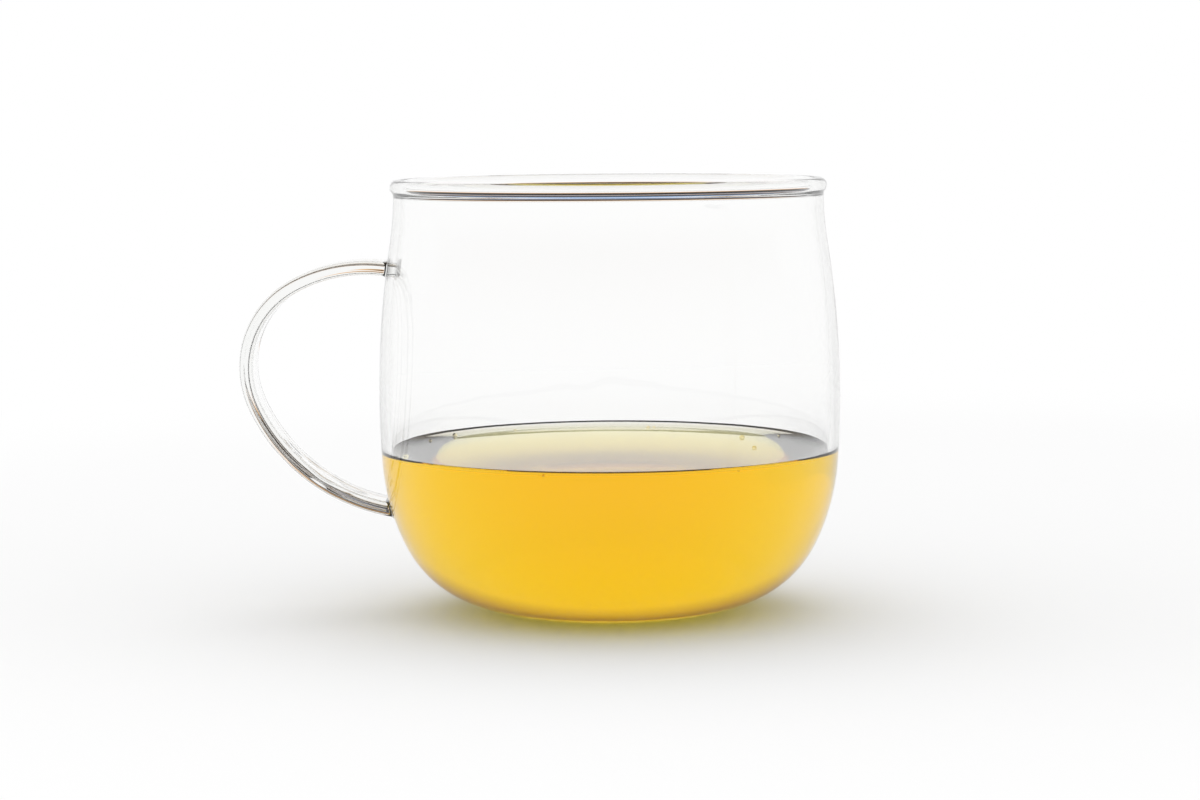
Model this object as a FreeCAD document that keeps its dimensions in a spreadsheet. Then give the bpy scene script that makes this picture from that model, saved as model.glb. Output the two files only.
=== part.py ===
"""A blown glass mug with a pulled strap handle, and the drink that stands in it.

Millimetres, +Z up. The origin is the middle of the flat spot that the mug stands on, and the handle
reaches towards -X. Every size is a cell of the sheet "Sizes", and the outlines are bound to those
cells by expressions. The places worked out in this file only start each curve near its answer.
"""
import FreeCAD, Part
import math
import os

import Sketcher
from FreeCAD import Vector

doc = FreeCAD.newDocument("mug_of_drink")

SIZES = {
    # the bowl, blown in a mould: five arcs from the foot to the mouth
    "height": 89.1,  # table to the top of the rim
    "foot_setback": 32.21,  # edge of the flat spot it stands on, in from the widest place
    "heel_radius": 43.0,  # bend of the underside
    "corner_radius": 22.6,  # bend from the underside into the wall
    "flank_radius": 44.9,  # bend of the lower wall
    "flank_top": 31.04,  # where the lower wall runs into the belly
    "belly_radius": 47.41,  # widest reach of the bowl from its axis
    "belly_height": 43.78,  # height of that widest place
    "belly_bend": 201.7,  # bend of the long upper wall
    "neck_bend": 52.8,  # hollow bend under the rim
    "mouth_flare": 1.1,  # how far the neck turns the wall out of the belly's bend
    "wall": 1.6,  # glass of the wall
    "base_thickness": 2.4,  # glass of the base
    "rim_bead": 1.5,  # radius of the bead that the fire-polished rim has melted into
    # the handle, a flat strap of glass drawn from the upper joint to the lower one
    "strap_width": 11.8,
    "strap_thickness": 2.8,
    "strap_edge": 1.1,  # rounding of the strap's edges
    "finger_room": 26.99,  # middle of the strap from the bowl's widest place
    "upper_joint_drop": 18.62,  # upper joint below the top of the rim
    "lower_joint_height": 21.32,  # lower joint above the table
    "joint_sink": 3.0,  # how far the strap runs into the bowl, before the inside is cut
    "joint_fillet": 0.5,  # collar of glass round each joint
    # the strap's curve, as shares of the height from joint to joint
    "grip_share": 0.604,  # the grip, where the strap is furthest out, above the lower joint
    "grip_bend_share": 0.385,  # bend round the grip
    "top_bend_share": 0.632,  # bend over the fingers to the upper joint
    "lower_bend_share": 0.764,  # bend back to the lower joint
    # the drink
    "drink_level": 32.9,  # its flat top above the table
    "drink_gap": 0.02,  # clearance between the drink and the glass
}

sheet = doc.addObject("Spreadsheet::Sheet", "Sizes")
for row, (alias, value) in enumerate(SIZES.items(), start=1):
    sheet.set(f"A{row}", alias)
    sheet.set(f"B{row}", str(value))
    sheet.setAlias(f"B{row}", alias)
doc.recompute()

# ---- what several outlines share --------------------------------------------------------------------

# a sketch's own origin and upright axis, and the points of a line or an arc
ORIGIN = (-1, 1)
UPRIGHT = -2
START, END, CENTRE = 1, 2, 3


def size(text):
    """What a cell or an expression in cells comes to."""
    return float(sheet.evalExpression(text.replace("Sizes.", "")))


def new_sketch(body, name, role):
    """A sketch on one of the body's own origin planes."""
    sketch = body.newObject("Sketcher::SketchObject", name)
    plane = next(f for f in body.Origin.OriginFeatures if f.Role == role)
    sketch.AttachmentSupport = [(plane, "")]
    sketch.MapMode = "FlatFace"
    doc.recompute()
    return sketch


def bind(sketch, kind, places, text):
    """Adds a constraint of one length, and binds it to the expression in text."""
    index = sketch.addConstraint(Sketcher.Constraint(kind, *places, size(text)))
    sketch.setExpression(f"Constraints[{index}]", text)


def tie(sketch, kind, *places):
    sketch.addConstraint(Sketcher.Constraint(kind, *places))


def arc(centre, radius, start, end):
    """The arc round centre that runs counter-clockwise from start to end."""
    begin = math.atan2(start.y - centre.y, start.x - centre.x)
    stop = math.atan2(end.y - centre.y, end.x - centre.x)
    if stop < begin:
        stop += 2 * math.pi
    return Part.ArcOfCircle(Part.Circle(centre, Vector(0, 0, 1), radius), begin, stop)


def line(start, end):
    return Part.LineSegment(start, end)


def meetings(first, reach, second, other_reach):
    """The two points that lie at reach from first and at other_reach from second."""
    apart = first.distanceToPoint(second)
    along = (reach**2 - other_reach**2 + apart**2) / (2 * apart)
    across = math.sqrt(reach**2 - along**2)
    ahead = (second - first) / apart
    aside = Vector(-ahead.y, ahead.x) * across
    return [first + ahead * along + aside, first + ahead * along - aside]


def on_circle(centre, radius, through):
    """Where the ray from centre through another point leaves the circle."""
    return centre + (through - centre).normalize() * radius


# ---- the bowl's outline -------------------------------------------------------------------------------

# The bead of the rim sits on the middle of the wall, which meets it from below.
BEAD_HEIGHT = "Sizes.height - Sizes.rim_bead"
NECK_TOP = f"{BEAD_HEIGHT} - sqrt(Sizes.rim_bead ^ 2 - (Sizes.wall / 2) ^ 2)"
BELLY_CENTRE = "Sizes.belly_radius - Sizes.belly_bend"
FOOT = "Sizes.belly_radius - Sizes.foot_setback"


def belly_reach(height):
    """An expression for the reach of the belly's arc at a height."""
    return f"{BELLY_CENTRE} + sqrt(Sizes.belly_bend ^ 2 - ({height} - Sizes.belly_height) ^ 2)"


MOUTH = f"{belly_reach(NECK_TOP)} + Sizes.mouth_flare - Sizes.wall"


def bowl_arcs(inset, floor):
    """Centres, radii and starts of the heel, corner, flank and belly, set in by inset and floor."""
    belly = Vector(size(BELLY_CENTRE), size("belly_height"))
    rise = size("flank_top") - belly.y
    outer_joint = belly + Vector(math.sqrt(size("belly_bend") ** 2 - rise**2), rise)
    flank = on_circle(belly, size("belly_bend") - size("flank_radius"), outer_joint)
    heel = Vector(size(FOOT), size("heel_radius"))
    radii = [
        size("heel_radius") - floor,
        size("corner_radius") - inset,
        size("flank_radius") - inset,
        size("belly_bend") - inset,
    ]
    corners = meetings(heel, radii[0] - radii[1], flank, radii[2] - radii[1])
    corner = max(corners, key=lambda point: point.x - point.y)
    starts = [
        Vector(heel.x, floor),
        on_circle(heel, radii[0], corner),
        on_circle(flank, radii[2], corner),
        on_circle(belly, radii[3], outer_joint),
    ]
    return [heel, corner, flank, belly], radii, starts


def draw_bowl(sketch, inset, floor, belly_end):
    """Draws the base as geometry 0, and the heel, corner, flank and belly as 1 to 4."""
    centres, radii, starts = bowl_arcs(size(inset), size(floor))
    sketch.addGeometry(line(Vector(0, size(floor)), starts[0]))
    for centre, radius, begin, end in zip(centres, radii, starts, starts[1:] + [belly_end]):
        sketch.addGeometry(arc(centre, radius, begin, end))
    for piece in range(4):
        tie(sketch, "Tangent", piece, END, piece + 1, START)
    tie(sketch, "PointOnObject", 0, START, UPRIGHT)
    tie(sketch, "Horizontal", 0)
    bind(sketch, "DistanceY", (*ORIGIN, 1, CENTRE), "Sizes.heel_radius")
    bind(sketch, "DistanceX", (*ORIGIN, 0, END), FOOT)
    bind(sketch, "Radius", (1,), f"Sizes.heel_radius - ({floor})")
    bind(sketch, "Radius", (2,), f"Sizes.corner_radius - ({inset})")
    bind(sketch, "Radius", (3,), f"Sizes.flank_radius - ({inset})")
    bind(sketch, "Radius", (4,), f"Sizes.belly_bend - ({inset})")
    bind(sketch, "DistanceX", (4, CENTRE, *ORIGIN), f"-({BELLY_CENTRE})")
    bind(sketch, "DistanceY", (*ORIGIN, 4, CENTRE), "Sizes.belly_height")
    lift = f"({inset}) * (Sizes.belly_height - Sizes.flank_top) / Sizes.belly_bend"
    bind(sketch, "DistanceY", (*ORIGIN, 4, START), f"Sizes.flank_top + {lift}")


def draw_bowl_to_mouth(sketch, inset, floor):
    """Draws the bowl with its neck as geometry 5, and returns where the neck ends under the rim."""
    mouth = f"{MOUTH} + Sizes.wall - ({inset})"
    neck_end = Vector(size(mouth), size(NECK_TOP))
    belly = Vector(size(BELLY_CENTRE), size("belly_height"))
    belly_radius = size("belly_bend") - size(inset)
    neck_radius = size("neck_bend") + size(inset)
    necks = meetings(belly, belly_radius + neck_radius, neck_end, neck_radius)
    neck = min(necks, key=lambda point: point.y)
    joint = on_circle(belly, belly_radius, neck)
    draw_bowl(sketch, inset, floor, joint)
    sketch.addGeometry(arc(neck, neck_radius, neck_end, joint))
    tie(sketch, "Tangent", 4, END, 5, END)
    bind(sketch, "Radius", (5,), f"Sizes.neck_bend + {inset}")
    bind(sketch, "DistanceX", (*ORIGIN, 5, START), mouth)
    return neck_end


def close_at_axis(sketch, last, tip, top, bottom):
    """Closes an outline with a level line to the axis, from that tip of the piece last, and the axis."""
    corner = Vector(0, top.y)
    level = sketch.addGeometry(line(top, corner))
    axis = sketch.addGeometry(line(corner, Vector(0, bottom)))
    tie(sketch, "Coincident", last, tip, level, START)
    tie(sketch, "Coincident", level, END, axis, START)
    tie(sketch, "Coincident", axis, END, 0, START)
    tie(sketch, "Horizontal", level)
    tie(sketch, "Vertical", axis)


def turned(body, kind, name, sketch):
    """The body that the sketch's outline sweeps in one turn round the upright axis."""
    feature = body.newObject(kind, name)
    feature.Profile = sketch
    feature.ReferenceAxis = (sketch, ["V_Axis"])
    feature.Angle = 360
    doc.recompute()
    return feature


# ---- mug: the blown bowl with its fire-polished rim, still full ---------------------------------------

mug = doc.addObject("PartDesign::Body", "Mug")
mug.Label = "mug"

outside = new_sketch(mug, "Outside", "XZ_Plane")
neck_end = draw_bowl_to_mouth(outside, "0 * Sizes.wall", "0 * Sizes.wall")
bead_centre = Vector(size(MOUTH) + size("wall") / 2, size(BEAD_HEIGHT))
lip = Vector(size(MOUTH), size(NECK_TOP))
rim = outside.addGeometry(arc(bead_centre, size("rim_bead"), neck_end, lip))
tie(outside, "Coincident", 5, START, rim, START)
bind(outside, "Radius", (rim,), "Sizes.rim_bead")
bind(outside, "DistanceX", (*ORIGIN, rim, CENTRE), f"{MOUTH} + Sizes.wall / 2")
bind(outside, "DistanceY", (*ORIGIN, rim, CENTRE), BEAD_HEIGHT)
bind(outside, "DistanceY", (*ORIGIN, rim, END), NECK_TOP)
close_at_axis(outside, rim, END, lip, 0)
turned(mug, "PartDesign::Revolution", "FullBowl", outside)

# ---- mug: the strap handle, swept up and down from its grip -------------------------------------------

UPPER_JOINT = "(Sizes.height - Sizes.upper_joint_drop)"
SPAN = f"({UPPER_JOINT} - Sizes.lower_joint_height)"
GRIP_REACH = "(Sizes.belly_radius + Sizes.finger_room)"
GRIP_HEIGHT = f"(Sizes.lower_joint_height + Sizes.grip_share * {SPAN})"
GRIP_BEND = f"(Sizes.grip_bend_share * {SPAN})"
TOP_BEND = f"(Sizes.top_bend_share * {SPAN})"
LOWER_BEND = f"(Sizes.lower_bend_share * {SPAN})"
# The strap ends inside the bowl, at the height of each joint.
FLANK_SHARE = "(Sizes.flank_radius / Sizes.belly_bend)"
FLANK_X = f"({BELLY_CENTRE} + ({belly_reach('Sizes.flank_top')} - ({BELLY_CENTRE})) * (1 - {FLANK_SHARE}))"
FLANK_Z = f"(Sizes.flank_top + (Sizes.belly_height - Sizes.flank_top) * {FLANK_SHARE})"
UPPER_END = f"{belly_reach(UPPER_JOINT)} - Sizes.joint_sink"
LOWER_END = (
    f"{FLANK_X} + sqrt(Sizes.flank_radius ^ 2 - (Sizes.lower_joint_height - {FLANK_Z}) ^ 2)"
    " - Sizes.joint_sink"
)


def strap_path(name, bend, end_reach, end_height, upward):
    """From the grip round its bend, then on a wider arc to the end inside the bowl."""
    grip = Vector(-size(GRIP_REACH), size(GRIP_HEIGHT))
    hub = grip + Vector(size(GRIP_BEND), 0)
    end = Vector(-size(end_reach), size(end_height))
    pick = min if upward else max
    wide = pick(meetings(hub, size(bend) - size(GRIP_BEND), end, size(bend)), key=lambda point: point.y)
    joint = on_circle(wide, size(bend), hub)
    sketch = new_sketch(mug, name, "XZ_Plane")
    if upward:
        sketch.addGeometry(arc(hub, size(GRIP_BEND), joint, grip))
        sketch.addGeometry(arc(wide, size(bend), end, joint))
        near, far = END, START
    else:
        sketch.addGeometry(arc(hub, size(GRIP_BEND), grip, joint))
        sketch.addGeometry(arc(wide, size(bend), joint, end))
        near, far = START, END
    tie(sketch, "Tangent", 0, far, 1, near)
    bind(sketch, "Radius", (0,), GRIP_BEND)
    bind(sketch, "Radius", (1,), bend)
    bind(sketch, "DistanceX", (0, near, *ORIGIN), GRIP_REACH)
    bind(sketch, "DistanceY", (*ORIGIN, 0, near), GRIP_HEIGHT)
    bind(sketch, "DistanceY", (*ORIGIN, 0, CENTRE), GRIP_HEIGHT)
    bind(sketch, "DistanceX", (1, far, *ORIGIN), end_reach)
    bind(sketch, "DistanceY", (*ORIGIN, 1, far), end_height)
    return sketch


def strap_section():
    """The strap cut level at its grip: a flat oblong with rounded edges."""
    sketch = new_sketch(mug, "StrapSection", "XY_Plane")
    sketch.setExpression("AttachmentOffset.Base.z", GRIP_HEIGHT)
    middle = Vector(-size(GRIP_REACH), 0)
    half = Vector(size("strap_thickness") / 2, size("strap_width") / 2)
    edge = size("strap_edge")
    # each corner's bend, going round counter-clockwise from the one furthest along both axes
    corners = [(1, 1), (-1, 1), (-1, -1), (1, -1)]
    bends = []
    for right, up in corners:
        centre = middle + Vector(right * (half.x - edge), up * (half.y - edge))
        side = centre + Vector(right * edge, 0)
        end = centre + Vector(0, up * edge)
        begin, stop = (side, end) if right == up else (end, side)
        bends.append((begin, stop))
        sketch.addGeometry(arc(centre, edge, begin, stop))
    for corner in range(4):
        ahead = (corner + 1) % 4
        sketch.addGeometry(line(bends[corner][1], bends[ahead][0]))
    for corner in range(4):
        ahead = (corner + 1) % 4
        tie(sketch, "Tangent", corner, END, 4 + corner, START)
        tie(sketch, "Tangent", 4 + corner, END, ahead, START)
        if corner:
            tie(sketch, "Equal", 0, corner)
    for level, upright in ((4, 5), (6, 7)):
        tie(sketch, "Horizontal", level)
        tie(sketch, "Vertical", upright)
    bind(sketch, "Radius", (0,), "Sizes.strap_edge")
    bind(sketch, "DistanceX", (2, CENTRE, 3, CENTRE), "Sizes.strap_thickness - 2 * Sizes.strap_edge")
    bind(sketch, "DistanceY", (2, CENTRE, 1, CENTRE), "Sizes.strap_width - 2 * Sizes.strap_edge")
    bind(sketch, "DistanceX", (5, START, *ORIGIN), f"{GRIP_REACH} + Sizes.strap_thickness / 2")
    bind(sketch, "DistanceY", (*ORIGIN, 0, END), "Sizes.strap_width / 2")
    return sketch


section = strap_section()
upper_path = strap_path("UpperPath", TOP_BEND, UPPER_END, UPPER_JOINT, upward=True)
lower_path = strap_path("LowerPath", LOWER_BEND, LOWER_END, "Sizes.lower_joint_height", upward=False)
for name, path in (("UpperStrap", upper_path), ("LowerStrap", lower_path)):
    strap = mug.newObject("PartDesign::AdditivePipe", name)
    strap.Profile = section
    strap.Spine = (path, ["Edge1", "Edge2"])
    doc.recompute()


def joint_edges(shape):
    """The names of the edges where the strap leaves the bowl's outer face."""
    names = []
    reach = size("belly_radius")
    for number, edge in enumerate(shape.Edges, start=1):
        middle = edge.valueAt((edge.FirstParameter + edge.LastParameter) / 2)
        beside_strap = abs(middle.y) < size("strap_width") and -reach < middle.x < -reach / 2
        short = edge.Length < 2 * size("strap_width")
        if beside_strap and short:
            names.append(f"Edge{number}")
    return names


collars = mug.newObject("PartDesign::Fillet", "Collars")
collars.Base = (strap, joint_edges(strap.Shape))
collars.setExpression("Radius", "Sizes.joint_fillet")
doc.recompute()

# ---- mug: the hollow inside, which also trims the strap's sunk ends -----------------------------------

inside = new_sketch(mug, "Inside", "XZ_Plane")
inner_neck_end = draw_bowl_to_mouth(inside, "Sizes.wall", "Sizes.base_thickness")
bind(inside, "DistanceY", (*ORIGIN, 5, START), NECK_TOP)
close_at_axis(inside, 5, START, inner_neck_end, size("base_thickness"))
turned(mug, "PartDesign::Groove", "Hollow", inside)

# ---- drink: what fills the hollow up to the level -------------------------------------------------------

filling = doc.addObject("PartDesign::Body", "Filling")
FILL_INSET = "Sizes.wall + Sizes.drink_gap"
FILL_FLOOR = "Sizes.base_thickness + Sizes.drink_gap"
FILL_TOP = UPPER_JOINT

fill_outline = new_sketch(filling, "FillOutline", "XZ_Plane")
fill_rise = size(FILL_TOP) - size("belly_height")
fill_radius = size("belly_bend") - size(FILL_INSET)
fill_edge = Vector(size(BELLY_CENTRE) + math.sqrt(fill_radius**2 - fill_rise**2), size(FILL_TOP))
draw_bowl(fill_outline, FILL_INSET, FILL_FLOOR, fill_edge)
close_at_axis(fill_outline, 4, END, fill_edge, size(FILL_FLOOR))
bind(fill_outline, "DistanceY", (*ORIGIN, 4, END), FILL_TOP)
turned(filling, "PartDesign::Revolution", "FullFilling", fill_outline)

poured = doc.addObject("Part::Cylinder", "Poured")
poured.setExpression("Radius", "Sizes.belly_radius")
poured.setExpression("Height", "Sizes.drink_level")
drink = doc.addObject("Part::Common", "Drink")
drink.Label = "drink"
drink.Base = filling
drink.Tool = poured
doc.recompute()

# ---- checks and files -----------------------------------------------------------------------------------

for item in doc.Objects:
    if "Invalid" in item.State or "Error" in item.State:
        raise RuntimeError(f"{item.Name} failed: {item.State}")

os.makedirs("parts", exist_ok=True)
for piece in (mug, drink):
    shape = piece.Shape
    if shape.isNull() or not shape.isValid() or len(shape.Solids) != 1:
        raise RuntimeError(f"{piece.Label} is not one valid solid")
    print(piece.Label, "volume", round(shape.Volume), "mm3", shape.BoundBox)
for piece in (mug, drink):
    piece.Shape.exportStep(f"parts/{piece.Label}.step")
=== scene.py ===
"""A blown glass mug of golden herbal lemonade: what it looks like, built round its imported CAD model.

Metres, +Z up, the same frame as the CAD: the mug stands on z = 0 with its axis on Z, and the handle
reaches towards -X. The mug's glass is one closed skin, the drink is another that reaches just into
the wall, and a few bubbles float on it.
"""

import bmesh
import bpy
import numpy as np
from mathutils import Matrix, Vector


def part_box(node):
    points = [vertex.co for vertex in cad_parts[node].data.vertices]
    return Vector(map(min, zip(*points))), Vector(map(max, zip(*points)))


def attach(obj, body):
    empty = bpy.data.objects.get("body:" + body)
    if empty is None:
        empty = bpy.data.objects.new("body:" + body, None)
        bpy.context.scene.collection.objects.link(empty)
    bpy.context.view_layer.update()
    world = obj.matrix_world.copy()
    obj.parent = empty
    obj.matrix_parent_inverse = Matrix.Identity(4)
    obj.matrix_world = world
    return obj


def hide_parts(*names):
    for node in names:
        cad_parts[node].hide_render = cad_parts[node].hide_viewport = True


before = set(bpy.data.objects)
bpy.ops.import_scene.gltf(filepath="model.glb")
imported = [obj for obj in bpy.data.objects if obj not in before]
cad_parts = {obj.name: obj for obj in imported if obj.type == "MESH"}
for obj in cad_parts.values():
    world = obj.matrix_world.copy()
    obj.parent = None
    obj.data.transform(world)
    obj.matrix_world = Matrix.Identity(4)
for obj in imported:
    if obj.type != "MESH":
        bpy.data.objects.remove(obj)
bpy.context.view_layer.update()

MM = 0.001

# ---- the bowl: borosilicate glass --------------------------------------------------------------------
# A gather of glass blown into a round mould, cut at the mouth and fire-polished there, so that the
# edge has melted back into a bead a little thicker than the wall.

mug_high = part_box("mug")[1]
BELLY = mug_high.x
HEIGHT = mug_high.z
WALL = 1.7 * MM  # just below the bead
BASE = 2.2 * MM
BASE_ENDS = 48 * MM  # along the outside, where the glass begins to thin towards the mouth
BASE_THINS = 66 * MM  # and how much further on it is down to the wall's
BEAD = 1.5 * MM
BEAD_SWELLS = 1.15 * MM  # how soon the wall swells into the bead

# The outside from the middle of the foot to the mouth: each stretch's length, and how far it turns up.
OUTSIDE = [
    (15.2 * MM, 0.0),  # the flat spot that it stands on
    (14.8 * MM, 19.7),  # heel
    (17.1 * MM, 43.4),  # corner
    (18.2 * MM, 23.2),  # flank
    (46.0 * MM, 13.1),  # belly
    (9.5 * MM, -10.3),  # hollow neck
    (2.8 * MM, 0.0),  # mouth
]
BEND_EASES = 2.2 * MM  # how softly one bend passes into the next


def running_sum(values, step):
    """The running sum of values a step apart, by the trapezium rule, from nought."""
    return np.concatenate([0 * values[:1], np.cumsum((values[1:] + values[:-1]) / 2, 0) * step])


def bent_path(stretches, ease, start=(0, 0), heading=0.0, count=6001):
    """Points, headings and distances along a path of stretches, each a length and a turn in degrees.

    Its bend is the sum over the stretches of turn / length, each switched on and off by a tanh of
    that ease. The heading is the running sum of the bend, and the place that of the heading."""
    lengths = np.array([length for length, _ in stretches])
    turns = np.radians([turn for _, turn in stretches])
    ends = np.cumsum(lengths)
    along = np.linspace(0, ends[-1], count)
    starts = np.concatenate([[-np.inf], ends[:-1]])
    stops = np.concatenate([ends[:-1], [np.inf]])
    switched = np.tanh((along[:, None] - starts) / ease) - np.tanh((along[:, None] - stops) / ease)
    bend = (switched * turns / lengths / 2).sum(1)
    headings = np.radians(heading) + running_sum(bend, along[1])
    ahead = np.stack([np.cos(headings), np.sin(headings)], 1)
    return np.array(start) + running_sum(ahead, along[1]), headings, along


path, path_heading, path_along = bent_path(OUTSIDE, BEND_EASES)
path *= [BELLY / path[:, 0].max(), HEIGHT / path[-1, 1]]
MOUTH_AT = path_along[-1]


def wall_line(along, inset):
    """Radius and height of the outside at a distance along it, moved inwards square to it by inset."""
    turn = np.interp(along, path_along, path_heading)
    radius = np.interp(along, path_along, path[:, 0]) - inset * np.sin(turn)
    height = np.interp(along, path_along, path[:, 1]) + inset * np.cos(turn)
    return np.stack([radius, height], -1)


def swelling(along):
    """How far the glass stands out beyond the wall on either face, below the middle of the bead.

    It is (bead - half the wall) * exp(-(distance below / swells)^3)."""
    below = np.maximum(MOUTH_AT - BEAD - along, 0)
    return (BEAD - WALL / 2) * np.exp(-((below / BEAD_SWELLS) ** 3))


def thickness(along):
    """The glass between outside and inside: the base's, easing to the wall's as 3 t^2 - 2 t^3."""
    thinned = np.clip((along - BASE_ENDS) / BASE_THINS, 0, 1)
    return BASE + (WALL - BASE) * thinned**2 * (3 - 2 * thinned)


def mug_profile(outer_rows, inner_rows, bead_rows):
    """Outside from the axis to the bead, round the bead and down the inside back to the axis.

    The bead's upper half is a half circle over the middle of the wall."""
    quarter = np.linspace(0, np.pi / 2, bead_rows)
    outer = wall_line(outer_rows, -swelling(outer_rows))
    over = MOUTH_AT - BEAD + BEAD * np.sin(quarter)
    outer_bead = wall_line(over, WALL / 2 - BEAD * np.cos(quarter))
    inner_bead = wall_line(over, WALL / 2 + BEAD * np.cos(quarter))
    inner = wall_line(inner_rows, thickness(inner_rows) + swelling(inner_rows))
    return np.concatenate([outer, outer_bead[1:], inner_bead[-2::-1], inner[::-1]])


def turned(profile, columns):
    """The profile carried once round the axis: (r cos a, r sin a, z) for a = 0 to a whole turn."""
    angle = np.linspace(0, 2 * np.pi, columns + 1)
    angle[-1] = 0
    radius, height = profile[:, None, 0], profile[:, None, 1]
    flat = np.broadcast_to(height, (len(profile), columns + 1))
    return np.stack([radius * np.cos(angle), radius * np.sin(angle), flat], -1)


def cells(rows, columns, missing=()):
    """Corner numbers of each cell of a grid, without the cells in the windows that are missing."""
    numbers = np.arange(rows * columns).reshape(rows, columns)
    quads = np.stack([numbers[:-1, :-1], numbers[:-1, 1:], numbers[1:, 1:], numbers[1:, :-1]], -1)
    keep = np.ones((rows - 1, columns - 1), bool)
    for row, last_row, column, last_column in missing:
        keep[row:last_row, column:last_column] = False
    return quads[keep]


MERGES = 2e-7  # metres, within which points of two grids are one


def skin(name, grids, windows=(), flip=()):
    """One closed mesh of several grids of points, joined where their edges meet.

    The windows are cut from the first grid, and the grids numbered in flip face the other way."""
    points, faces, start = [], [], 0
    for index, grid in enumerate(grids):
        quads = cells(*grid.shape[:2], windows if index == 0 else ()) + start
        faces.append(quads[:, ::-1] if index in flip else quads)
        points.append(grid.reshape(-1, 3))
        start += len(points[-1])
    mesh = bpy.data.meshes.new(name)
    mesh.from_pydata(np.concatenate(points), [], np.concatenate(faces))
    work = bmesh.new()
    work.from_mesh(mesh)
    bmesh.ops.remove_doubles(work, verts=work.verts, dist=MERGES)
    bmesh.ops.dissolve_degenerate(work, edges=work.edges, dist=MERGES / 20)
    open_edges = sum(not edge.is_manifold for edge in work.edges)
    if open_edges:
        print(name, "is open at", open_edges, "edges")
    for face in work.faces:
        face.smooth = True
    if work.calc_volume(signed=True) < 0:
        bmesh.ops.reverse_faces(work, faces=work.faces)
    work.to_mesh(mesh)
    work.free()
    piece = bpy.data.objects.new(name, mesh)
    bpy.context.scene.collection.objects.link(piece)
    return piece


# ---- the handle: a strap of the same glass -----------------------------------------------------------
# A flat strap pulled from a second gather. Its hot ends were pressed onto the bowl, where they melted
# on with a small collar of glass all round.

STRAP_WIDTH = 11.8 * MM
STRAP_THICKNESS = 2.8 * MM
STRAP_EDGE = 1.1 * MM
COLLAR = 0.7 * MM
UPPER_JOINT = HEIGHT - 18.62 * MM
LOWER_JOINT = 21.32 * MM
# The strap's middle line, from where it would end inside the bowl's upper wall, over the fingers,
# round the grip and back to the lower wall. It lies in the plane of the X and Z axes.
STRAP_START, STRAP_HEADING = (-42.57 * MM, 70.48 * MM), 166.6
STRAP_RUN = [(22.4 * MM, 41.3), (28.5 * MM, 86.4), (39.2 * MM, 59.7)]

strap_path, strap_heading, strap_along = bent_path(STRAP_RUN, BEND_EASES, STRAP_START, STRAP_HEADING)


def strap_section(across_cells, edge_cells, corner_cells):
    """Points round the strap's section, as (towards the fingers, across), and which way they face.

    An oblong with round corners, centre + radius (sin a, cos a). It goes from the corner nearest the
    fingers at +Y along the finger side, over the edge at -Y, back along the far side and up."""
    half = np.array([STRAP_THICKNESS / 2 - STRAP_EDGE, STRAP_WIDTH / 2 - STRAP_EDGE])
    points, facing = [], []
    for quarter, (side, end) in enumerate([(1, -1), (-1, -1), (-1, 1), (1, 1)]):
        # this quarter's flat leads up to the corner that lies at (side, end)
        flat_cells = (across_cells, edge_cells)[quarter % 2] - 2 * corner_cells
        share = np.linspace(0, 1, flat_cells + 1)[1:-1, None]
        last_side, last_end = [(1, 1), (1, -1), (-1, -1), (-1, 1)][quarter]
        turn = np.radians(90 * quarter) + np.linspace(0, np.pi / 2, 2 * corner_cells + 1)
        direction = np.stack([np.cos(turn), -np.sin(turn)], 1)
        flat_way = direction[:1]
        flat_from = half * [last_side, last_end] + STRAP_EDGE * flat_way
        flat_to = half * [side, end] + STRAP_EDGE * flat_way
        points += [flat_from + (flat_to - flat_from) * share, half * [side, end] + STRAP_EDGE * direction]
        facing += [np.repeat(flat_way, len(share), 0), direction]
    points, facing = np.concatenate(points), np.concatenate(facing)
    # start half way round the corner at (finger side, +Y), which is the last quarter's
    return np.roll(points, corner_cells + 1, 0), np.roll(facing, corner_cells + 1, 0)


# Where tongs pressed the hot strap: how far along it and across, how deep, how long and how wide.
DENTS = [
    (63.0 * MM, -2.0 * MM, 0.5 * MM, 1.5 * MM, 2.2 * MM),
    (71.5 * MM, 1.5 * MM, 0.55 * MM, 3.2 * MM, 2.6 * MM),
    (78.0 * MM, -1.0 * MM, 0.45 * MM, 2.2 * MM, 2.4 * MM),
]


def strap_points(distance, section):
    """The strap's skin: middle line at that distance + towards the fingers * N + across * Y.

    Each dent pushes the far side in by depth * exp(-(along / length)^2 - (across / width)^2)."""
    middle = np.stack([np.interp(distance, strap_along, strap_path[:, i]) for i in (0, 1)], -1)
    turn = np.interp(distance, strap_along, strap_heading)
    inward = section[:, 0] + 0 * turn
    for at, across, depth, length, width in DENTS:
        pushed = np.exp(-(((distance - at) / length) ** 2) - ((section[:, 1] - across) / width) ** 2)
        inward = inward + depth * pushed * (section[:, 0] < 0)
    return np.stack(
        [
            middle[..., 0] - inward * np.sin(turn),
            np.broadcast_to(section[:, 1], turn.shape),
            middle[..., 1] + inward * np.cos(turn),
        ],
        -1,
    )


# The strap's section and the window it meets in the bowl's grid have as many points, one to one.
ACROSS_CELLS, EDGE_CELLS, CORNER_CELLS = 24, 16, 6
COLUMNS = 384
WINDOW_HALF = 5.0 * MM  # how far the bowl's wall is cut open above and below each joint
JOINT_ROWS = 7
COLLAR_ROWS = 7
STRAP_ROWS = 120
JOINT_REACH = 14 * MM  # within this of its end the strap leaves the bowl

section, facing = strap_section(ACROSS_CELLS, EDGE_CELLS, CORNER_CELLS)


def at_height(height):
    """How far along the outside a height is."""
    return np.interp(height, path[:, 1], path_along)


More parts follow.
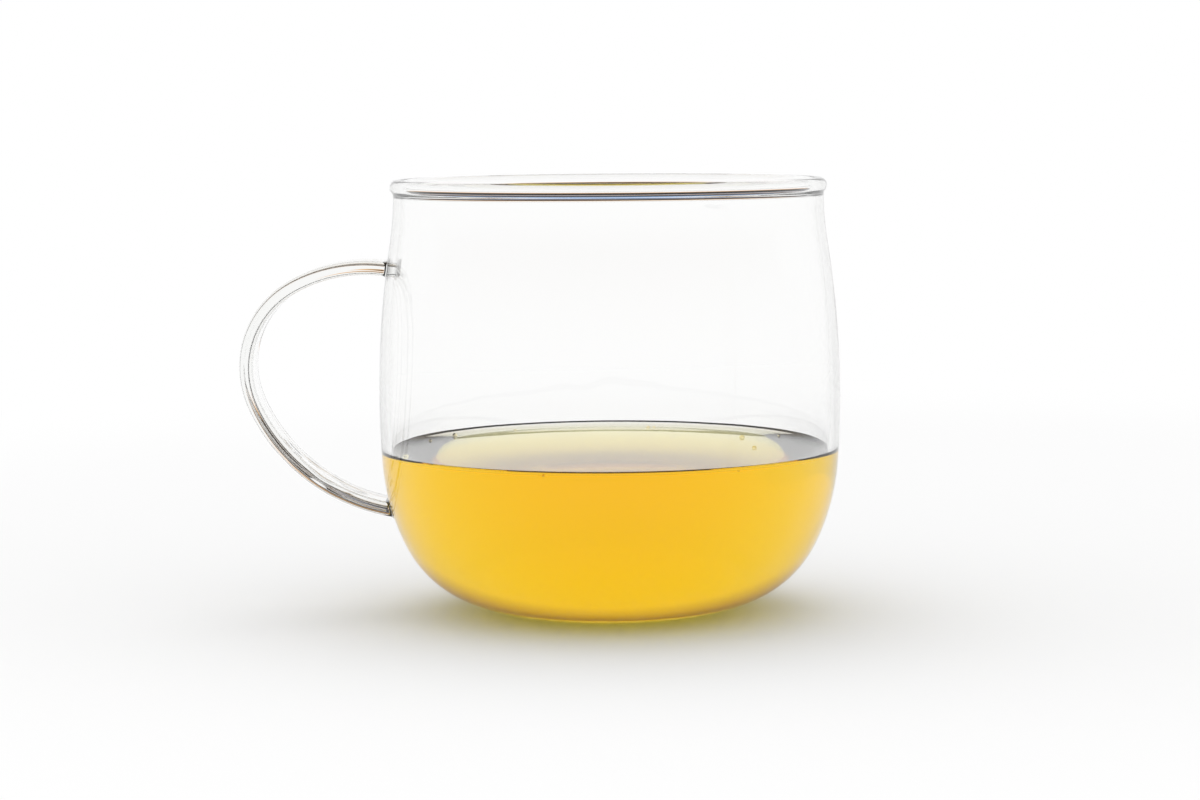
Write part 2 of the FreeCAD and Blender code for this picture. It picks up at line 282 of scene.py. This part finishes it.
def joint_skin(row, height, upper):
    """The wall round a joint, from the window cut in the bowl's rows at row, up the collar to the strap.

    The wall runs straight in angle and distance along it, from the window to the collar's foot.
    The collar is the curve (1-t)^2 foot + 2 t (1-t) corner + t^2 top, where corner is where the
    strap's skin meets the bowl's. Returns the grid and the distances at which the strap goes on."""
    reach = np.linspace(0, JOINT_REACH, 1401)[:, None]
    distance = reach if upper else strap_along[-1] - reach
    points = strap_points(np.broadcast_to(distance, (len(reach), len(section))), section)
    radius = np.hypot(points[..., 0], points[..., 1])
    outside = radius - np.interp(points[..., 2], path[:, 1], path[:, 0])
    first = (outside > 0).argmax(0)
    column = np.arange(len(section))
    near, far = outside[first - 1, column], outside[first, column]
    leaves = (reach[first - 1, 0] * far - reach[first, 0] * near) / (far - near)
    sign = 1 if upper else -1
    start = 0 if upper else strap_along[-1]
    corner = strap_points(start + sign * leaves, section)
    top_at = start + sign * (leaves + COLLAR)
    top = strap_points(top_at, section)
    angle = np.arctan2(corner[:, 1], corner[:, 0]) % (2 * np.pi)
    along = at_height(corner[:, 2])
    foot_angle = angle - COLLAR * facing[:, 1] / np.hypot(corner[:, 0], corner[:, 1])
    foot_along = along - sign * COLLAR * facing[:, 0]
    # the window's own edge, in the same order as the strap's section
    middle = COLUMNS // 2
    left, right = middle - ACROSS_CELLS // 2, middle + ACROSS_CELLS // 2
    near_row, far_row = (row, row + EDGE_CELLS) if upper else (row + EDGE_CELLS, row)
    step = 1 if upper else -1
    rows = [[near_row] * ACROSS_CELLS, list(range(near_row, far_row, step))]
    rows += [[far_row] * ACROSS_CELLS, list(range(far_row, near_row, -step))]
    columns = [list(range(left, right)), [right] * EDGE_CELLS]
    columns += [list(range(right, left, -1)), [left] * EDGE_CELLS]
    edge_angle = np.concatenate(columns) * 2 * np.pi / COLUMNS
    edge_along = outer_rows[np.concatenate(rows)]
    share = np.linspace(0, 1, JOINT_ROWS)[:, None]
    wall_angle = edge_angle + (foot_angle - edge_angle) * share
    wall = wall_line(edge_along + (foot_along - edge_along) * share, 0)
    radius, level = wall[..., 0], wall[..., 1]
    wall = np.stack([radius * np.cos(wall_angle), radius * np.sin(wall_angle), level], -1)
    t = np.linspace(0, 1, COLLAR_ROWS)[1:, None, None]
    collar = (1 - t) ** 2 * wall[-1] + 2 * t * (1 - t) * corner + t**2 * top
    grid = np.concatenate([wall, collar])
    return np.concatenate([grid, grid[:, :1]], 1), top_at


def stepped(start, stop, step):
    """Distances from start up to, but not on, stop, about that step apart."""
    return np.linspace(start, stop, max(2, round((stop - start) / step)), endpoint=False)


# the rows of the bowl's skin, about so far apart, and closer at the joints and at the bead
OUTER_STEP, INNER_STEP, NECK_STEP = 1.4 * MM, 1.6 * MM, 1.1 * MM
BEAD_ZONE = 2.4 * MM  # below the bead, where the rows are closer
low_window, high_window = at_height(LOWER_JOINT), at_height(UPPER_JOINT)
bead_foot = MOUTH_AT - BEAD
window_step = 2 * WINDOW_HALF / EDGE_CELLS
below = stepped(0, low_window - WINDOW_HALF, OUTER_STEP)
between = stepped(low_window + WINDOW_HALF, high_window - WINDOW_HALF, OUTER_STEP)
outer_rows = np.concatenate(
    [
        below,
        stepped(low_window - WINDOW_HALF, low_window + WINDOW_HALF, window_step),
        between,
        stepped(high_window - WINDOW_HALF, high_window + WINDOW_HALF, window_step),
        stepped(high_window + WINDOW_HALF, bead_foot - BEAD_ZONE, NECK_STEP),
        np.linspace(bead_foot - BEAD_ZONE, bead_foot, 13),
    ]
)
inner_rows = np.concatenate(
    [
        stepped(0, bead_foot - BEAD_ZONE, INNER_STEP),
        np.linspace(bead_foot - BEAD_ZONE, bead_foot, 11),
    ]
)

# the mug's whole skin: the bowl with a window cut at each joint, the two joints and the strap
bowl = turned(mug_profile(outer_rows, inner_rows, 12), COLUMNS)
low_row, high_row = len(below), len(below) + EDGE_CELLS + len(between)
left_column = COLUMNS // 2 - ACROSS_CELLS // 2
windows = [
    (row, row + EDGE_CELLS, left_column, left_column + ACROSS_CELLS) for row in (low_row, high_row)
]
upper_joint, upper_at = joint_skin(high_row, UPPER_JOINT, True)
lower_joint, lower_at = joint_skin(low_row, LOWER_JOINT, False)
share = np.linspace(0, 1, STRAP_ROWS)[:, None]
strap = strap_points(upper_at + (lower_at - upper_at) * share, section)
strap = np.concatenate([strap, strap[:, :1]], 1)
mug = skin("blown_mug", [bowl, upper_joint, lower_joint, strap], windows, flip=(2,))


def srgb(text):
    """A hex colour as linear light: ((c + 0.055) / 1.055) ^ 2.4, and c / 12.92 near black."""
    channel = np.array([int(text[i : i + 2], 16) / 255 for i in (1, 3, 5)])
    linear = np.where(channel <= 0.04045, channel / 12.92, ((channel + 0.055) / 1.055) ** 2.4)
    return (*linear.tolist(), 1.0)


def add(tree, kind, links=None, **settings):
    """Adds a node. Links say what feeds each input, and settings are its properties or inputs.

    Where several inputs share a name, a setting such as input_1 gives the input's number."""
    node = tree.nodes.new(kind)
    for name, value in settings.items():
        if hasattr(node, name):
            setattr(node, name, value)
        elif name.startswith("input_"):
            node.inputs[int(name[6:])].default_value = value
        else:
            node.inputs[name.replace("_", " ")].default_value = value
    for name, socket in (links or {}).items():
        tree.links.new(socket, node.inputs[name])
    return node


def new_tree(owner):
    """The empty node tree of a new material or world."""
    owner.use_nodes = True
    owner.node_tree.nodes.clear()
    return owner.node_tree


# Blown borosilicate glass, fire-polished: colourless and mirror smooth, with an index of 1.47. It is a
# little grey where light runs along the wall, and blowing has left it faintly wavy, drawn out upwards.
# Where the drink wets it, light passes between them with next to no reflection: the faces' own
# "mirror" is 0 there, and DRY_MIRROR on dry glass.
DRY_MIRROR = 0.8
WAVES_PER_METRE = 90.0  # one in about 11 mm
WAVES_DRAWN = 0.3  # as many upwards as across, times this
WAVE_DEPTH = 0.6 * MM
WHITE = (1, 1, 1, 1)

glass = bpy.data.materials.new("borosilicate_glass_blown")
tree = new_tree(glass)
dry = add(tree, "ShaderNodeAttribute", attribute_name="mirror")
place = add(tree, "ShaderNodeTexCoord")
drawn = add(tree, "ShaderNodeMapping", {"Vector": place.outputs["Object"]}, Scale=(1, 1, WAVES_DRAWN))
waves = add(
    tree, "ShaderNodeTexNoise", {"Vector": drawn.outputs[0]}, Scale=WAVES_PER_METRE, Detail=1.0
)
wavy = add(tree, "ShaderNodeBump", {"Height": waves.outputs[0]}, Strength=0.06, Distance=WAVE_DEPTH)
shader = add(
    tree,
    "ShaderNodeBsdfPrincipled",
    {"Specular Tint": dry.outputs["Color"], "Normal": wavy.outputs[0]},
    Base_Color=WHITE,
    Roughness=0.0,
    IOR=1.47,
    Transmission_Weight=1.0,
)
tint = add(tree, "ShaderNodeVolumeAbsorption", Color=(0.16, 0.2, 0.04, 1), Density=6.0)
add(tree, "ShaderNodeOutputMaterial", {"Surface": shader.outputs[0], "Volume": tint.outputs[0]})
mug.data.materials.append(glass)
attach(mug, "root")
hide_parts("mug")

# ---- the drink: herbal lemonade ----------------------------------------------------------------------
# Clear golden liquid, poured in to a little over a third of the height. It wets the glass, so its edge
# climbs the wall a little, and its skin reaches just into the wall so that no air shows between them.

LEVEL = 32.9 * MM
CLIMB = 1.2 * MM
CLIMB_FADES = 1.5 * MM
REACH_IN = 0.1 * MM
EDGE_ZONE = 14 * MM  # from the wall, where the surface has its closer rows

contact = LEVEL + CLIMB


def side_line(along):
    """Radius and height of the drink's side: the inside of the glass, and REACH_IN further out."""
    return wall_line(along, thickness(along) - REACH_IN)


def surface_height(inward):
    """The drink's surface at a distance in from its edge: level + climb * exp(-distance / fades)."""
    return LEVEL + CLIMB * np.exp(-inward / CLIMB_FADES)


probe = np.linspace(0, MOUTH_AT, 4001)
probe_line = side_line(probe)
contact_at = np.interp(contact, probe_line[:, 1], probe)
contact_radius = np.interp(contact, probe_line[:, 1], probe_line[:, 0])
sides = side_line(np.linspace(0, contact_at, 80))
inward = np.concatenate(
    [np.geomspace(0.05 * MM, EDGE_ZONE, 40), np.linspace(EDGE_ZONE, contact_radius, 16)[1:]]
)
top = np.stack([contact_radius - inward, surface_height(inward)], 1)
top[-1, 0] = 0
drink = skin("lemonade", [turned(np.concatenate([sides, top]), COLUMNS)])

# the glass that the drink wets: the inner faces up to just under its edge
WETTED_STOPS = 0.3 * MM
centre = np.empty(3 * len(mug.data.polygons))
mug.data.polygons.foreach_get("center", centre)
centre = centre.reshape(-1, 3)
outside_at = np.interp(centre[:, 2], path[:, 1], path[:, 0])
inside = (np.hypot(centre[:, 0], centre[:, 1]) < outside_at - WALL / 2) & (centre[:, 2] > BASE / 2)
wetted = inside & (centre[:, 2] < contact - WETTED_STOPS)
mirror = mug.data.attributes.new("mirror", "FLOAT", "FACE")
mirror.data.foreach_set("value", np.where(wetted, 0.0, DRY_MIRROR))

# Sweetened water with an infusion in it, strained clear: an index of 1.333, and a golden yellow that
# comes from its depth. Half of the green light is left after about 90 mm, and next to no blue.
lemonade = bpy.data.materials.new("golden_lemonade")
tree = new_tree(lemonade)
shader = add(
    tree,
    "ShaderNodeBsdfPrincipled",
    Base_Color=WHITE,
    Roughness=0.0,
    IOR=1.333,
    Transmission_Weight=1.0,
    Specular_Tint=(0, 0, 0, 1),
)
volume = add(tree, "ShaderNodeVolumeAbsorption", Color=(0.9955, 0.909, 0.02, 1), Density=80.0)
add(tree, "ShaderNodeOutputMaterial", {"Surface": shader.outputs[0], "Volume": volume.outputs[0]})
drink.data.materials.append(lemonade)
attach(drink, "root")
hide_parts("drink")

# ---- the bubbles: air caught at the drink's surface --------------------------------------------------
# A few small bubbles from the pouring, half out of the drink. The curve of its edge draws most of them
# to the wall.

BUBBLES = [  # across and away from the viewer, and radius, in millimetres
    (-34.0, 26.0, 0.55),
    (8.5, 40.0, 0.45),
    (9.9, 40.4, 0.3),
    (28.4, 20.4, 0.6),
    (30.0, 2.0, 0.5),
    (-38.9, 17.2, 0.4),
    (36.8, 21.5, 0.35),
    (-21.0, 36.2, 0.3),
    (-12.5, -39.8, 0.4),
    (24.0, -34.5, 0.3),
]
FLATTENED = 0.85  # how tall a bubble is for its width
STANDS_UP = 0.1  # how far its middle is above the surface, for its radius
polar = np.linspace(0, np.pi, 13)
ball = turned(np.stack([np.sin(polar), -np.cos(polar)], 1), 24)
grids = []
for across, away, radius in BUBBLES:
    inward = max(contact_radius - np.hypot(across, away) * MM, 0)
    height = surface_height(inward) + STANDS_UP * radius * MM
    middle = [across * MM, away * MM, height]
    grids.append(ball * radius * MM * [1, 1, FLATTENED] + middle)
bubbles = skin("surface_bubbles", grids)

# A film of the drink round air: nearly no bending of light, and a pale edge.
film = bpy.data.materials.new("lemonade_bubble_film")
tree = new_tree(film)
shader = add(
    tree,
    "ShaderNodeBsdfPrincipled",
    Base_Color=srgb("#fff6dc"),
    Roughness=0.02,
    IOR=1.12,
    Transmission_Weight=1.0,
)
add(tree, "ShaderNodeOutputMaterial", {"Surface": shader.outputs[0]})
bubbles.data.materials.append(film)
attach(bubbles, "root")

# ---- the studio: the table ---------------------------------------------------------------------------
# A round white lacquered table. Near the mug it keeps its soft shadow, and further off it is plain
# white, so that no edge shows behind the mug.

TABLE_RADIUS = 3.0
TABLE_MIDDLE = Vector((50 * MM, 140 * MM, 0))  # the table is shaded round this place
TABLE_FADES = (160 * MM, 380 * MM)  # and gives way to plain white between these distances from it

spread = np.linspace(0, 1, 24) ** 2 * TABLE_RADIUS
grid = turned(np.stack([spread, np.zeros(24)], 1), 96)
mesh = bpy.data.meshes.new("table")
mesh.from_pydata(grid.reshape(-1, 3), [], cells(*grid.shape[:2])[:, ::-1])
work = bmesh.new()
work.from_mesh(mesh)
bmesh.ops.remove_doubles(work, verts=work.verts, dist=MERGES)
bmesh.ops.recalc_face_normals(work, faces=work.faces)
work.to_mesh(mesh)
work.free()
table = bpy.data.objects.new("table", mesh)
scene = bpy.context.scene
scene.collection.objects.link(table)

# Matt white lacquer: it takes the mug's soft shadow, and gives way to a glow as white as the room.
paint = bpy.data.materials.new("white_table_lacquer")
tree = new_tree(paint)
lacquer = add(tree, "ShaderNodeBsdfDiffuse", Color=srgb("#f8f8f8"))
white = add(tree, "ShaderNodeEmission", Color=WHITE, Strength=1.0)
ray = add(tree, "ShaderNodeLightPath")
place = add(tree, "ShaderNodeTexCoord")
reach = add(
    tree,
    "ShaderNodeVectorMath",
    {0: place.outputs["Object"]},
    operation="DISTANCE",
    input_1=TABLE_MIDDLE,
)
away = add(
    tree,
    "ShaderNodeMapRange",
    {"Value": reach.outputs["Value"]},
    interpolation_type="SMOOTHERSTEP",
    From_Min=TABLE_FADES[0],
    From_Max=TABLE_FADES[1],
)
# the white is only seen, and lights nothing
seen = add(
    tree, "ShaderNodeMath", {0: ray.outputs["Is Diffuse Ray"]}, operation="LESS_THAN", input_1=0.5
)
fade = add(tree, "ShaderNodeMath", {0: away.outputs["Result"], 1: seen.outputs[0]}, operation="MULTIPLY")
mixed = add(tree, "ShaderNodeMixShader", {0: fade.outputs[0], 1: lacquer.outputs[0], 2: white.outputs[0]})
add(tree, "ShaderNodeOutputMaterial", {"Surface": mixed.outputs[0]})
table.data.materials.append(paint)

# ---- the studio: the light ---------------------------------------------------------------------------
# The room is a white tent, brighter overhead, and it lights the table. Glass alone sees painted bands in
# it, dark and coloured, that change with how many glass and drink surfaces a ray has crossed: these
# painted reflections draw the dark lines along the rim, the handle and the edge of the drink. What is seen
# straight is plain white.

OVERHEAD = Vector((-0.06, 0.3, 0.94)).normalized()
OVERHEAD_EDGES = np.cos(np.radians([34, 12]))  # where its glow begins, and where it is full
TENT, GLOW = 0.86, 1.9


def band(tree, height, stops):
    """A colour ramp over the sine of the height above the table, from (degrees, colour) pairs."""
    ramp = add(tree, "ShaderNodeValToRGB", {"Fac": height})
    places = np.sin(np.radians([degrees for degrees, _ in stops]))
    while len(ramp.color_ramp.elements) < len(stops):
        ramp.color_ramp.elements.new(1.0)
    for element, place, (_, colour) in zip(ramp.color_ramp.elements, places, stops):
        element.position = place
        element.color = srgb(colour)
    return ramp


world = bpy.data.worlds.new("studio")
scene.world = world
tree = new_tree(world)
place = add(tree, "ShaderNodeTexCoord")
split = add(tree, "ShaderNodeSeparateXYZ", {"Vector": place.outputs["Generated"]})
height = split.outputs["Z"]
ray = add(tree, "ShaderNodeLightPath")

# what lights the table
towards = add(
    tree,
    "ShaderNodeVectorMath",
    {0: place.outputs["Generated"]},
    operation="DOT_PRODUCT",
    input_1=OVERHEAD,
)
glow = add(
    tree,
    "ShaderNodeMapRange",
    {"Value": towards.outputs["Value"]},
    interpolation_type="SMOOTHSTEP",
    From_Min=float(OVERHEAD_EDGES[0]),
    From_Max=float(OVERHEAD_EDGES[1]),
    To_Min=TENT,
    To_Max=GLOW,
)
lighting = add(tree, "ShaderNodeBackground", {"Strength": glow.outputs["Result"]}, Color=WHITE)

# what shows through one thickness of glass: painted bands, two dark ones with a white slit between
# them, and painted warm and blue fringes in place of the edges that glass gives
painted_edge_bands = band(
    tree,
    height,
    [
        (0, "#ffffff"),
        (2.5, "#ffffff"),
        (4.5, "#f4c48c"),
        (6.5, "#2c1e14"),
        (15.2, "#16181c"),
        (16.2, "#7c8698"),
        (17.4, "#dfe6f2"),
        (18.6, "#b98a5c"),
        (20, "#3c3833"),
        (26, "#4a545e"),
        (30, "#5a82b8"),
        (36, "#c4dcfa"),
        (42, "#ffffff"),
    ],
)
# what the same glass mirrors: a fainter painted dark band, and a room that is dimmer on the viewer's side
painted_reflection_bands = band(
    tree,
    height,
    [(0, "#ffffff"), (24, "#ffffff"), (40, "#dccdb8"), (56, "#a8937c"), (70, "#ffffff")],
)
behind = add(
    tree,
    "ShaderNodeMapRange",
    {"Value": split.outputs["Y"]},
    interpolation_type="SMOOTHSTEP",
    From_Min=-0.3,
    From_Max=0.3,
)
low = add(
    tree,
    "ShaderNodeMapRange",
    {"Value": height},
    interpolation_type="SMOOTHSTEP",
    From_Min=0.0,
    From_Max=0.4,
    To_Min=1.0,
    To_Max=0.0,
)
bright = add(
    tree, "ShaderNodeMath", {0: behind.outputs["Result"], 1: low.outputs["Result"]}, operation="MAXIMUM"
)
room = add(
    tree,
    "ShaderNodeMix",
    {"Factor": bright.outputs[0], 7: painted_reflection_bands.outputs["Color"]},
    data_type="RGBA",
    input_6=srgb("#b8a48e"),
)
glassy_room = add(
    tree,
    "ShaderNodeMix",
    {"Factor": ray.outputs["Glossy Depth"], 6: painted_edge_bands.outputs["Color"], 7: room.outputs[2]},
    data_type="RGBA",
)
clear = add(tree, "ShaderNodeBackground", {"Color": glassy_room.outputs[2]}, Strength=1.0)

# what shows through both walls or the drink: white low down, and painted brown bands above it
painted_brown_bands = band(
    tree,
    height,
    [
        (0, "#ffffff"),
        (20, "#ffffff"),
        (30, "#a88a58"),
        (40, "#866a3c"),
        (66, "#7c6238"),
        (82, "#ffffff"),
    ],
)
filled = add(tree, "ShaderNodeBackground", {"Color": painted_brown_bands.outputs["Color"]}, Strength=1.0)
# and a painted dimming of it, for light that has run on along the wall
painted_light_loss = add(tree, "ShaderNodeBackground", Color=srgb("#c4a884"), Strength=0.98)

ONE_WALL, ALL_WALLS = 2.5, 6.5  # between counts of the glass and drink surfaces that light crosses
crossed = ray.outputs["Transmission Depth"]
one_wall = add(tree, "ShaderNodeMath", {0: crossed}, operation="LESS_THAN", input_1=ONE_WALL)
trapped = add(tree, "ShaderNodeMath", {0: crossed}, operation="GREATER_THAN", input_1=ALL_WALLS)
glass_sees = add(
    tree, "ShaderNodeMixShader", {0: trapped.outputs[0], 1: filled.outputs[0], 2: painted_light_loss.outputs[0]}
)
glass_sees = add(
    tree, "ShaderNodeMixShader", {0: one_wall.outputs[0], 1: glass_sees.outputs[0], 2: clear.outputs[0]}
)

# glass sees all that, light on the table comes from the tent, and the camera sees plain white
by_glass = add(
    tree,
    "ShaderNodeMath",
    {0: ray.outputs["Is Transmission Ray"], 1: ray.outputs["Is Glossy Ray"]},
    operation="MAXIMUM",
)
undiffused = add(
    tree, "ShaderNodeMath", {0: ray.outputs["Diffuse Depth"]}, operation="LESS_THAN", input_1=0.5
)
by_glass = add(
    tree, "ShaderNodeMath", {0: by_glass.outputs[0], 1: undiffused.outputs[0]}, operation="MULTIPLY"
)
mixed = add(
    tree, "ShaderNodeMixShader", {0: by_glass.outputs[0], 1: lighting.outputs[0], 2: glass_sees.outputs[0]}
)
plain = add(tree, "ShaderNodeBackground", Color=WHITE, Strength=1.0)
mixed = add(
    tree,
    "ShaderNodeMixShader",
    {0: ray.outputs["Is Camera Ray"], 1: mixed.outputs[0], 2: plain.outputs[0]},
)
add(tree, "ShaderNodeOutputWorld", {"Surface": mixed.outputs[0]})

# ---- the studio: the camera --------------------------------------------------------------------------
# A long lens, in front of the mug and just above its rim, that looks a little down.

CAMERA_AWAY, CAMERA_HEIGHT = 613.8 * MM, 103.0 * MM
LOOKS_DOWN, LEANS = 5.54, 0.42  # degrees

camera_data = bpy.data.cameras.new("camera")
camera_data.lens = 89.7
camera_data.sensor_width = 36.0
camera_data.shift_x = -0.0064
camera = bpy.data.objects.new("camera", camera_data)
camera.location = (0.0, -CAMERA_AWAY, CAMERA_HEIGHT)
camera.rotation_euler = (np.radians(90 - LOOKS_DOWN), np.radians(LEANS), 0.0)
scene.collection.objects.link(camera)
scene.camera = camera
scene.view_settings.view_transform = "Standard"
